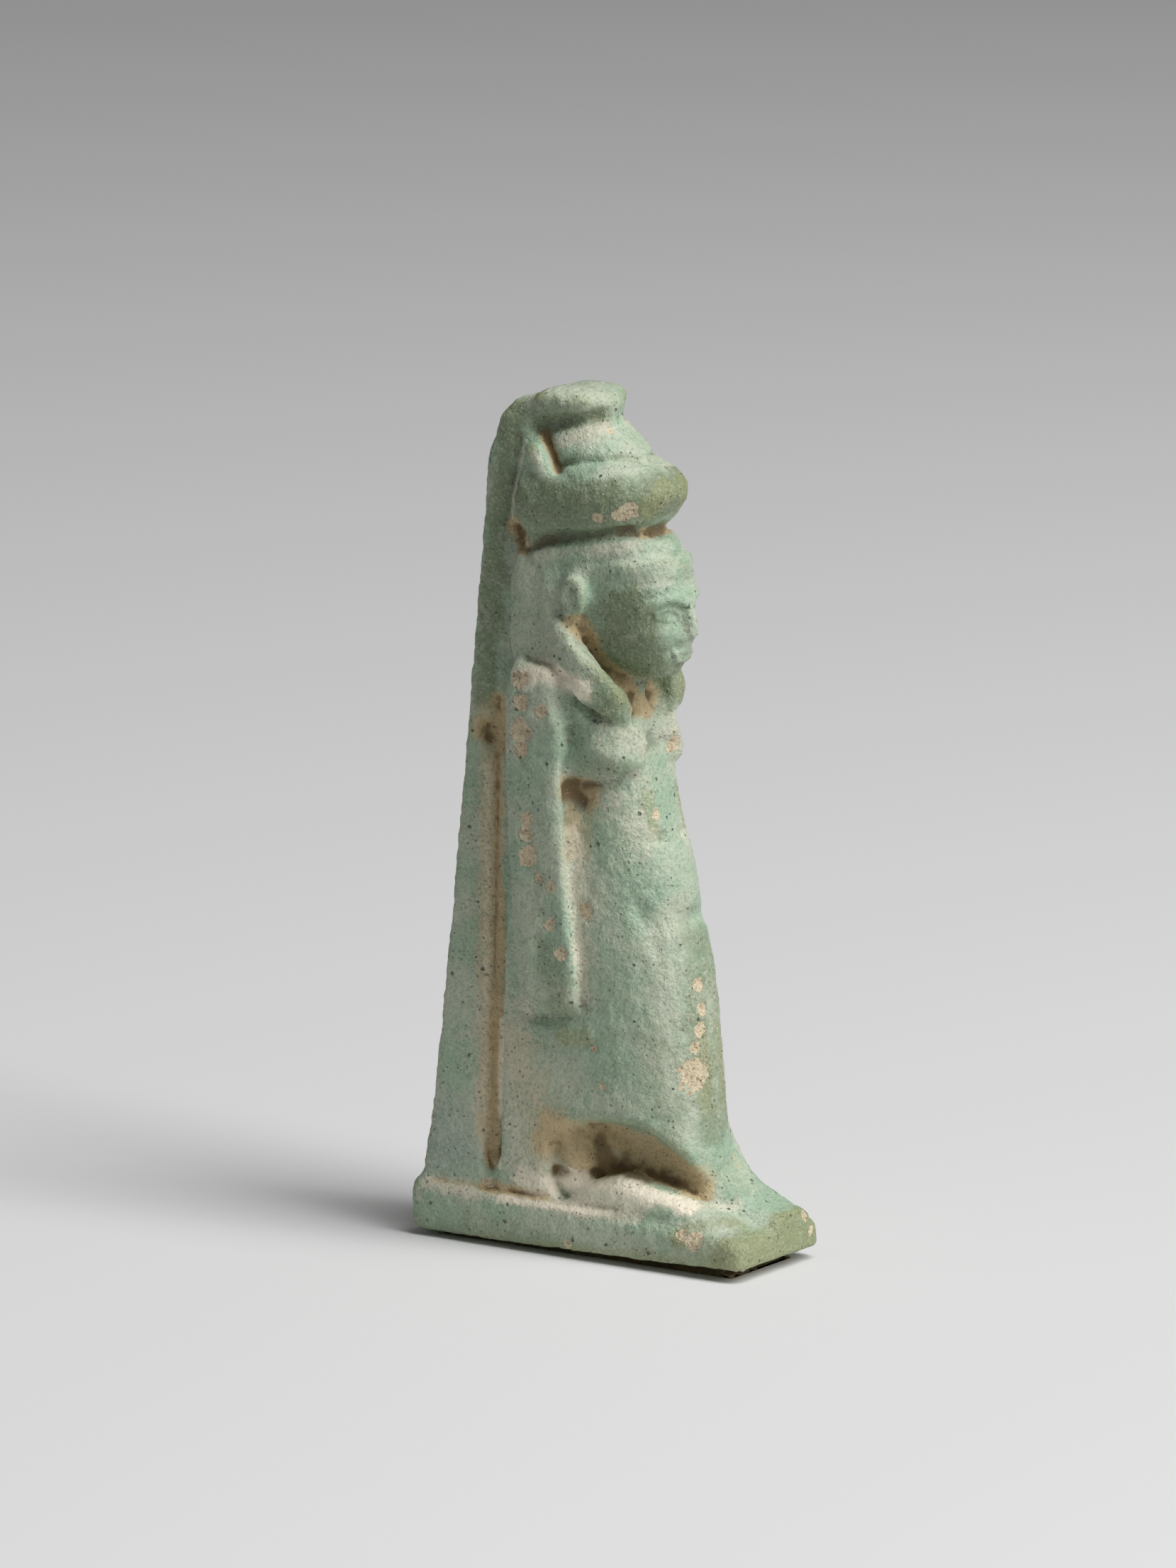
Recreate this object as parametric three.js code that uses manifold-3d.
// A small moulded faience figurine: a goddess striding on a slab base against a back pillar,
// with a throne-shaped crown. Millimetres, +Z up. She faces -Y and +X is her left.
// The underside of the base is the plane z = 0 and the base is centred on the origin. Heights
// below are counted from the lower edge of the slab's sides, which overhang the underside a little.
import * as THREE from "three";
import { LoftGeometry } from "three/addons/geometries/LoftGeometry.js";
import { mergeVertices } from "three/addons/utils/BufferGeometryUtils.js";
import Module from "manifold-3d";

const wasm = await Module();
wasm.setup();

// Driving sizes
const BASE = { half: 3.55, depth: 18.9, top: 2.15, thinning: 0.022, corner: 0.6, undercut: 0.35 };
const LEVEL = {
  hem: 6.4,
  hand: 11.45,
  waist: 21.6,
  breast: 24.1,
  lappetEnd: 25.2,
  chin: 27.3,
  shoulder: 28.2,
  wigTop: 34.1,
  seatTop: 37.2,
  top: 40.7,
};
const ARM = { outer: 3.75, thick: 1.7 };
const HOLE = { radius: 0.8, y: 5.1, z: 24.15 };
const BODY_AXIS_Y = 1.2;
const RIGHT = -1;
const LEFT = 1;

// A closed geometry, moved by an optional matrix, as a solid that can be joined and cut
function solid(geometry, matrix = new THREE.Matrix4()) {
  const bare = new THREE.BufferGeometry();
  bare.setAttribute("position", geometry.getAttribute("position").clone());
  bare.setIndex(geometry.index);
  bare.applyMatrix4(matrix);
  const merged = mergeVertices(bare, 1e-4);
  return new wasm.Manifold(
    new wasm.Mesh({
      numProp: 3,
      vertProperties: merged.attributes.position.array,
      triVerts: new Uint32Array(merged.index.array),
    }),
  );
}

const joined = (solids) => solids.reduce((sum, next) => sum.add(next));

// Points round one level of a loft, counterclockwise from above: four elliptical corners joined
// by straight sides. The side may be narrower in front than behind.
function levelPoints(s, perCorner) {
  const corners = [
    [s.x + s.half - s.backX, s.back - s.backY, s.backX, s.backY, 0],
    [s.x - s.half + s.backX, s.back - s.backY, s.backX, s.backY, 1],
    [s.x - s.frontHalf + s.frontX, s.front + s.frontY, s.frontX, s.frontY, 2],
    [s.x + s.frontHalf - s.frontX, s.front + s.frontY, s.frontX, s.frontY, 3],
  ];
  return corners.flatMap(([cx, cy, rx, ry, quarter]) =>
    Array.from({ length: perCorner + 1 }, (_, i) => {
      const angle = ((quarter + i / perCorner) * Math.PI) / 2;
      return new THREE.Vector3(cx + rx * Math.cos(angle), cy + ry * Math.sin(angle), s.z);
    }),
  );
}

// A body lofted smoothly through a few levels, each given by its height, its half width, where
// its front and back are, and the size of its corners
function loft(levels, { steps = 3, perCorner = 5 } = {}) {
  const keys = ["z", "x", "half", "frontHalf", "front", "back", "frontX", "frontY", "backX", "backY"];
  const full = levels.map((s) => ({ x: 0, frontHalf: s.half, ...s }));
  const spline = new THREE.CubicInterpolant(
    full.map((_, i) => i),
    full.flatMap((s) => keys.map((key) => s[key])),
    keys.length,
  );
  const count = (levels.length - 1) * steps;
  const sections = Array.from({ length: count + 1 }, (_, i) => {
    const values = spline.evaluate(i / steps);
    const s = Object.fromEntries(keys.map((key, k) => [key, values[k]]));
    return levelPoints(s, perCorner);
  });
  return new LoftGeometry(sections, { capStart: true, capEnd: true });
}

// Corner sizes for loft levels: front radii, then back radii
const corners = (frontX, frontY, backX, backY) => ({ frontX, frontY, backX, backY });

// An ellipsoid with its centre and three radii, tipped forwards by an angle in degrees
function egg(centre, radii, tip = 0, detail = 20) {
  const matrix = new THREE.Matrix4().compose(
    new THREE.Vector3(...centre),
    new THREE.Quaternion().setFromAxisAngle(new THREE.Vector3(1, 0, 0), THREE.MathUtils.degToRad(tip)),
    new THREE.Vector3(...radii),
  );
  const ball = new THREE.SphereGeometry(1, detail, Math.round(detail * 0.6)).rotateZ(Math.PI / 2);
  return solid(ball, matrix);
}

// A side view outline of [y, z] points, run across the figure from one x to another
function across(outline, fromX, toX) {
  const shape = new THREE.Shape(outline.map(([y, z]) => new THREE.Vector2(y, z)));
  const geometry = new THREE.ExtrudeGeometry(shape, { depth: toX - fromX, bevelEnabled: false });
  const axes = new THREE.Matrix4().makeBasis(
    new THREE.Vector3(0, 1, 0),
    new THREE.Vector3(0, 0, 1),
    new THREE.Vector3(1, 0, 0),
  );
  return solid(geometry, new THREE.Matrix4().makeTranslation(fromX, 0, 0).multiply(axes));
}

// A rounded band along a path, flat side towards the figure's axis, tapering in at both ends
function band(points, halfWidth, halfDepth, { steps = 14, around = 12 } = {}) {
  const path = new THREE.CatmullRomCurve3(points.map((p) => new THREE.Vector3(...p)));
  const sections = Array.from({ length: steps + 1 }, (_, i) => {
    const t = i / steps;
    const centre = path.getPoint(t);
    const along = path.getTangent(t);
    const out = new THREE.Vector3(centre.x, centre.y - BODY_AXIS_Y, 0).normalize();
    const side = new THREE.Vector3().crossVectors(along, out).normalize();
    out.crossVectors(side, along).normalize();
    const end = Math.min(1, Math.sqrt(Math.max(0.3, Math.min(t, 1 - t) * steps * 0.6)));
    return Array.from({ length: around }, (_, k) => {
      const angle = (k / around) * 2 * Math.PI;
      return centre
        .clone()
        .addScaledVector(out, halfDepth * end * Math.cos(angle))
        .addScaledVector(side, halfWidth * end * Math.sin(angle));
    });
  });
  return solid(new LoftGeometry(sections, { capStart: true, capEnd: true }));
}
function baseSlab() {
  const { half, depth, top, thinning, corner, undercut } = BASE;
  const end = depth / 2;
  const level = (z, inset, round) => ({
    z,
    half: half - inset,
    front: -end + inset,
    back: end - inset,
    ...corners(round, round, round, round),
  });
  const slab = loft(
    [
      level(-undercut, 0.8, corner),
      level(-undercut * 0.4, 0.42, corner),
      level(0, 0.22, corner),
      level(0.12, 0.07, corner),
      level(0.3, 0, corner),
      level(top - 0.55, 0.02, corner),
      level(top - 0.15, 0.2, corner),
      level(top, 0.5, corner * 0.8),
    ],
    { steps: 1, perCorner: 4 },
  );
  // the slab is thicker under the pillar than under the toes
  const position = slab.getAttribute("position");
  for (let i = 0; i < position.count; i++)
    if (position.getZ(i) > 0) position.setZ(i, position.getZ(i) * (1 + thinning * position.getY(i)));
  return solid(slab);
}

function backPillar() {
  const level = (z, half, frontHalf, front, back, round = 0.3) => ({
    z,
    half,
    frontHalf,
    front,
    back,
    ...corners(0.2, 0.2, round, round),
  });
  return solid(
    loft(
      [
        level(1.2, 3.3, 2.8, 2.5, 9.15),
        level(2.3, 3.22, 2.7, 2.5, 9.0),
        level(5.5, 3.05, 2.5, 2.5, 8.5),
        level(15, 2.85, 2.25, 2.5, 7.5),
        level(25, 2.65, 2.1, 2.5, 6.6),
        level(33.5, 2.5, 2.0, 2.3, 5.9),
        level(37.6, 2.4, 1.95, 2.0, 5.6),
        level(38.1, 2.35, 1.9, 2.0, 5.3),
        level(39.2, 2.25, 1.8, 1.8, 5.15, 0.5),
        level(40.0, 1.9, 1.6, 1.6, 4.5, 0.6),
        level(40.35, 1.4, 1.3, 1.4, 3.5, 0.6),
      ],
      { steps: 1, perCorner: 3 },
    ),
  );
}

function skirt() {
  const level = (z, half, front, back, rx, ry) => ({
    z,
    half,
    front,
    back,
    ...corners(rx, ry, 0.3, 0.3),
  });
  return solid(
    loft(
      [
        level(1.8, 3.1, -6.29, 4.75, 2.8, 4.0),
        level(4, 3.12, -6.11, 4.6, 2.8, 4.2),
        level(LEVEL.hem, 3.15, -5.89, 4.4, 2.85, 4.4),
        level(10, 3.2, -5.58, 4.3, 2.9, 4.6),
        level(13.6, 3.2, -5.13, 4.2, 2.9, 4.6),
        level(16.3, 3.1, -4.46, 4.1, 2.8, 4.4),
        level(18.4, 2.85, -3.82, 4.0, 2.4, 3.6),
        level(20.4, 2.6, -3.27, 3.9, 2.0, 2.8),
        level(LEVEL.waist, 2.45, -2.89, 3.9, 1.7, 2.2),
        level(23.6, 2.4, -2.43, 3.9, 1.6, 2.0),
      ],
      { steps: 2, perCorner: 6 },
    ),
  );
}

function chest() {
  const level = (z, half, front, round) => ({
    z,
    half,
    front,
    back: 3.9,
    ...corners(round, round, 0.3, 0.3),
  });
  return solid(
    loft(
      [
        level(22.6, 2.6, -1.7, 1.4),
        level(23.0, 2.9, -1.95, 1.6),
        level(24.5, 3.05, -2.15, 1.8),
        level(25.6, 3.05, -1.9, 1.9),
        level(26.6, 3.0, -1.2, 2.0),
        level(27.6, 2.9, -0.3, 2.1),
        level(28.4, 2.4, 0.5, 1.9),
        level(28.7, 1.7, 1.0, 1.3),
      ],
      { steps: 2, perCorner: 5 },
    ),
  );
}

function breasts() {
  return joined([LEFT, RIGHT].map((side) => egg([side * 1.75, -0.95, LEVEL.breast], [1.5, 2.0, 1.5], 8, 18)));
}

function belly() {
  return egg([0, -1.1, 17.9], [2.4, 3.0, 2.9], 0, 22);
}

function arm(side) {
  const { outer, thick } = ARM;
  const level = (z, front, back, inset = 0, round = 0.55) => ({
    z,
    x: side * (outer - thick / 2 - inset / 2),
    half: thick / 2 - inset / 2,
    front,
    back,
    ...corners(Math.min(round, thick / 2 - inset / 2 - 0.02), round, Math.min(round, thick / 2 - inset / 2 - 0.02), round),
  });
  return solid(
    loft(
      [
        level(LEVEL.hand, 0.35, 2.5, 0.5, 0.3),
        level(LEVEL.hand + 0.25, -0.05, 2.9, 0.1),
        level(LEVEL.hand + 0.8, -0.25, 3.1),
        level(13.9, -0.35, 3.2),
        level(16.5, 0.05, 3.5),
        level(19.6, 0.35, 3.75),
        level(22.6, 0.6, 3.85),
        level(26, 0.4, 3.85),
        level(LEVEL.shoulder - 0.7, 0.3, 3.7, 0.15),
        level(LEVEL.shoulder - 0.1, 0.6, 3.4, 0.5),
        level(LEVEL.shoulder + 0.15, 1.1, 3.0, 0.9, 0.35),
      ],
      { steps: 2, perCorner: 3 },
    ),
  );
}

function head() {
  const level = (z, half, front, back, rx, ry) => ({
    z,
    half,
    front,
    back,
    ...corners(rx, ry, 0.5, 0.5),
  });
  return solid(
    loft(
      [
        level(LEVEL.chin, 0.7, -3.0, -0.9, 0.6, 0.7),
        level(LEVEL.chin + 0.3, 1.2, -3.5, 0, 1.1, 1.3),
        level(28.6, 1.85, -4.0, 1, 1.7, 2.2),
        level(30, 2.3, -4.2, 1, 2.1, 2.8),
        level(31.3, 2.5, -4.2, 1, 2.3, 3.0),
        level(32.4, 2.6, -4.0, 1, 2.4, 3.0),
        level(33.2, 2.55, -3.5, 1, 2.4, 2.8),
        level(33.9, 2.2, -2.7, 1, 2.0, 2.2),
        level(LEVEL.wigTop + 0.2, 1.5, -1.8, 1, 1.3, 1.5),
      ],
      { steps: 2, perCorner: 5 },
    ),
  );
}

function wig() {
  const level = (z, half, front, back, round) => ({
    z,
    half,
    front,
    back,
    ...corners(round, round, 0.6, 0.6),
  });
  return solid(
    loft(
      [
        level(27.5, 2.7, 1.2, 3.9, 0.5),
        level(28.2, 3.0, 0.6, 4.05, 0.7),
        level(29.5, 3.12, 0.3, 4.1, 0.9),
        level(31, 3.15, 0.0, 4.05, 1.0),
        level(32.2, 3.1, -0.7, 3.9, 1.3),
        level(33.1, 2.9, -1.8, 3.7, 1.7),
        level(33.7, 2.5, -2.2, 3.4, 1.8),
        level(LEVEL.wigTop, 1.9, -1.8, 3.0, 1.5),
      ],
      { steps: 2, perCorner: 5 },
    ),
  );
}

function lappet(side) {
  return band(
    [
      [side * 2.5, 2.2, 30.4],
      [side * 2.9, 0.9, 29.0],
      [side * 2.95, -0.1, 27.9],
      [side * 2.75, -1.0, 26.9],
      [side * 2.4, -1.6, 26.1],
      [side * 2.1, -1.95, LEVEL.lappetEnd],
    ],
    0.88,
    0.62,
  );
}

function ear(side) {
  return egg([side * 2.85, 0.15, 31.15], [0.5, 0.55, 1.0], 12, 12);
}

function nose() {
  return egg([0, -4.2, 30.2], [0.42, 0.4, 0.75], 12, 12);
}

function neck() {
  return egg([0, 0, 27.2], [1.35, 1.7, 2.3], -12, 14);
}

// The crown rises towards its front, its seat's foot more than the rest
const LEAN = { foot: 0.13, top: 0.05, from: 34.5, to: 37.5 };
function crownLoft(levels, options) {
  const geometry = loft(levels, options);
  const position = geometry.getAttribute("position");
  for (let i = 0; i < position.count; i++) {
    const z = position.getZ(i);
    const share = THREE.MathUtils.smoothstep(z, LEAN.from, LEAN.to);
    position.setZ(i, z - THREE.MathUtils.lerp(LEAN.foot, LEAN.top, share) * position.getY(i));
  }
  return solid(geometry);
}

function crownSeat() {
  const level = (z, half, front, back, rx, ry) => ({
    z,
    half,
    front,
    back,
    ...corners(rx, ry, 0.5, 0.5),
  });
  return crownLoft(
    [
      level(33.2, 2.0, -1.37, 2.2, 1.6, 1.8),
      level(33.9, 2.65, -2.39, 2.9, 2.2, 2.6),
      level(34.7, 2.95, -2.96, 3.5, 2.4, 3.0),
      level(35.6, 3.05, -3.22, 3.7, 2.5, 3.2),
      level(36.4, 2.98, -3.01, 3.6, 2.4, 3.0),
      level(36.95, 2.75, -2.54, 3.3, 2.2, 2.6),
      level(LEVEL.seatTop, 2.4, -1.98, 3.1, 1.9, 2.2),
    ],
    { steps: 2, perCorner: 5 },
  );
}

function crownBack() {
  const level = (z, half, front, back, rx, ry) => ({
    z,
    half,
    front,
    back,
    ...corners(rx, ry, 0.4, 0.4),
  });
  return crownLoft(
    [
      level(36.6, 2.55, -1.99, 3.1, 2.1, 2.6),
      level(37.6, 2.5, -1.69, 3.1, 2.1, 2.6),
      level(38.4, 2.15, -0.93, 3.1, 1.8, 2.2),
      level(39.1, 1.8, -0.21, 3.1, 1.5, 1.7),
      level(39.7, 1.95, -0.04, 3.2, 1.5, 1.6),
      level(40.2, 2.15, 0.03, 3.3, 1.6, 1.6),
      level(40.6, 1.95, 0.45, 3.1, 1.5, 1.4),
      level(LEVEL.top + 0.1, 1.45, 1.3, 2.6, 1.1, 0.8),
    ],
    { steps: 2, perCorner: 5 },
  );
}

function crownHeel() {
  const outline = [
    [3.5, 34.2],
    [3.6, 35.5],
    [3.2, 38.1],
    [2.5, 38.25],
    [1.3, 36.2],
    [1.6, 34.0],
  ];
  return across(outline, -2.8, 2.8);
}

// A loft laid along the base, its levels given by how far forward they are
function forwardLoft(levels, options) {
  const geometry = loft(levels, options);
  return solid(geometry, new THREE.Matrix4().makeRotationX(Math.PI / 2));
}

// A foot through levels of distance forward, inner and outer side, top and rounding
function foot(levels, side) {
  const level = ([forward, inner, outer, top, round]) => ({
    z: forward,
    x: (side * (inner + outer)) / 2,
    half: (outer - inner) / 2,
    front: 0.8,
    back: top,
    ...corners(0.2, 0.2, round, round * 0.8),
  });
  return forwardLoft(levels.map(level), { steps: 2, perCorner: 4 });
}

// The advanced foot runs out to the front of the base
function leftFoot() {
  return foot(
    [
      [3.5, -1.6, 2.9, 7.8, 1.5],
      [4.5, -1.5, 2.9, 6.6, 1.5],
      [5.1, -1.3, 2.9, 5.5, 1.4],
      [5.7, -1.1, 2.9, 4.5, 1.3],
      [6.5, -0.9, 2.9, 3.6, 1.2],
      [7.8, -0.6, 2.95, 2.85, 1.1],
      [8.9, -0.4, 2.9, 2.4, 1.0],
      [9.4, -0.3, 2.7, 2.3, 0.9],
    ],
    LEFT,
  );
}

function rightFoot() {
  const sole = foot(
    [
      [-0.6, 0.9, 2.8, 2.9, 0.8],
      [0.4, 0.8, 3.0, 3.3, 0.9],
      [2.1, 0.7, 3.1, 3.85, 1.0],
      [3.0, 0.7, 3.1, 3.65, 1.0],
      [4.6, 0.6, 3.1, 3.25, 1.0],
      [6.3, 0.5, 2.9, 2.75, 0.9],
      [7.8, 0.4, 2.6, 2.2, 0.8],
      [8.6, 0.3, 2.2, 1.8, 0.7],
    ],
    RIGHT,
  );
  return sole.add(egg([-2.1, 0.7, 4.5], [0.8, 1.1, 2.2], 0, 14));
}

// A hollow sunk in from the side: a side view outline that shrinks about a centre as it goes in
function sunkHollow(outline, [centreY, centreZ], depths) {
  const sections = depths.map(([x, share]) =>
    outline.map(
      ([y, z]) => new THREE.Vector3(x, centreY + (y - centreY) * share, centreZ + (z - centreZ) * share),
    ),
  );
  return solid(new LoftGeometry(sections, { capStart: true, capEnd: true }));
}

// Below the hem on her right, round the standing leg
function rightHollow() {
  const outline = [
    [-9.2, 1.9],
    [-3.4, 1.9],
    [1.5, 2.2],
    [2.0, 3.2],
    [1.7, 4.9],
    [0.9, 6.0],
    [-0.2, 6.5],
    [-1.6, 6.7],
    [-3.2, 6.6],
    [-4.6, 6.0],
    [-6.1, 4.8],
    [-7.6, 3.4],
  ];
  return sunkHollow(outline, [-2.4, 3.0], [
    [-5, 1.0],
    [-3.2, 1.0],
    [-2.4, 0.93],
    [-1.5, 0.82],
    [-0.9, 0.64],
  ]);
}

// Behind the advanced leg on her left
function leftHollow() {
  const outline = [
    [3.3, 2.4],
    [3.3, 4.4],
    [2.4, 5.6],
    [0.6, 5.8],
    [-0.9, 4.7],
    [-1.7, 2.2],
  ].reverse();
  return sunkHollow(outline, [1.0, 3.2], [
    [5, 1.0],
    [3.1, 1.0],
    [2.4, 0.85],
    [1.9, 0.6],
  ]);
}

// The groove between the pillar and the figure's side
function sideGroove(side) {
  const level = (z, y, size = 1) => ({
    z,
    x: side * 2.95,
    half: 0.75 * size,
    front: y - 0.36 * size,
    back: y + 0.36 * size,
    ...corners(0.5 * size, 0.34 * size, 0.5 * size, 0.34 * size),
  });
  return solid(
    loft(
      [
        level(3.4, 4.85, 0.5),
        level(3.9, 4.82),
        level(9, 4.62),
        level(15, 4.5),
        level(24, 4.3),
        level(33.2, 4.25),
        level(33.8, 4.25, 0.5),
      ],
      { steps: 1, perCorner: 3 },
    ),
  );
}

function suspensionHole() {
  const rod = new THREE.CylinderGeometry(HOLE.radius, HOLE.radius, 12, 20);
  rod.rotateZ(Math.PI / 2);
  return solid(rod, new THREE.Matrix4().makeTranslation(0, HOLE.y, HOLE.z));
}

function figurineSolid() {
  const standing = joined([skirt(), belly(), leftFoot()]).subtract(rightHollow()).subtract(leftHollow());
  const upper = joined([chest(), breasts(), neck(), head(), nose(), wig()]);
  const sides = joined([RIGHT, LEFT].flatMap((side) => [arm(side), lappet(side), ear(side)]));
  const crown = joined([crownSeat(), crownBack(), crownHeel()]);
  const whole = joined([baseSlab(), backPillar(), standing, rightFoot(), upper, sides, crown]);
  const cuts = joined([suspensionHole(), sideGroove(RIGHT), sideGroove(LEFT)]);
  return whole.subtract(cuts);
}

function meshOf(name, body, material) {
  const { vertProperties, triVerts } = body.getMesh();
  const geometry = new THREE.BufferGeometry();
  geometry.setAttribute("position", new THREE.BufferAttribute(vertProperties, 3));
  geometry.setIndex(new THREE.BufferAttribute(triVerts, 1));
  geometry.computeVertexNormals();
  const mesh = new THREE.Mesh(geometry, material);
  mesh.name = name;
  return mesh;
}

const faience = new THREE.MeshStandardMaterial({ color: 0x9dbba4, roughness: 0.5, metalness: 0 });

const figurine = new THREE.Group();
const mesh = meshOf("figurine", figurineSolid(), faience);
mesh.geometry.translate(0, 0, BASE.undercut);
figurine.add(mesh);

export default figurine;
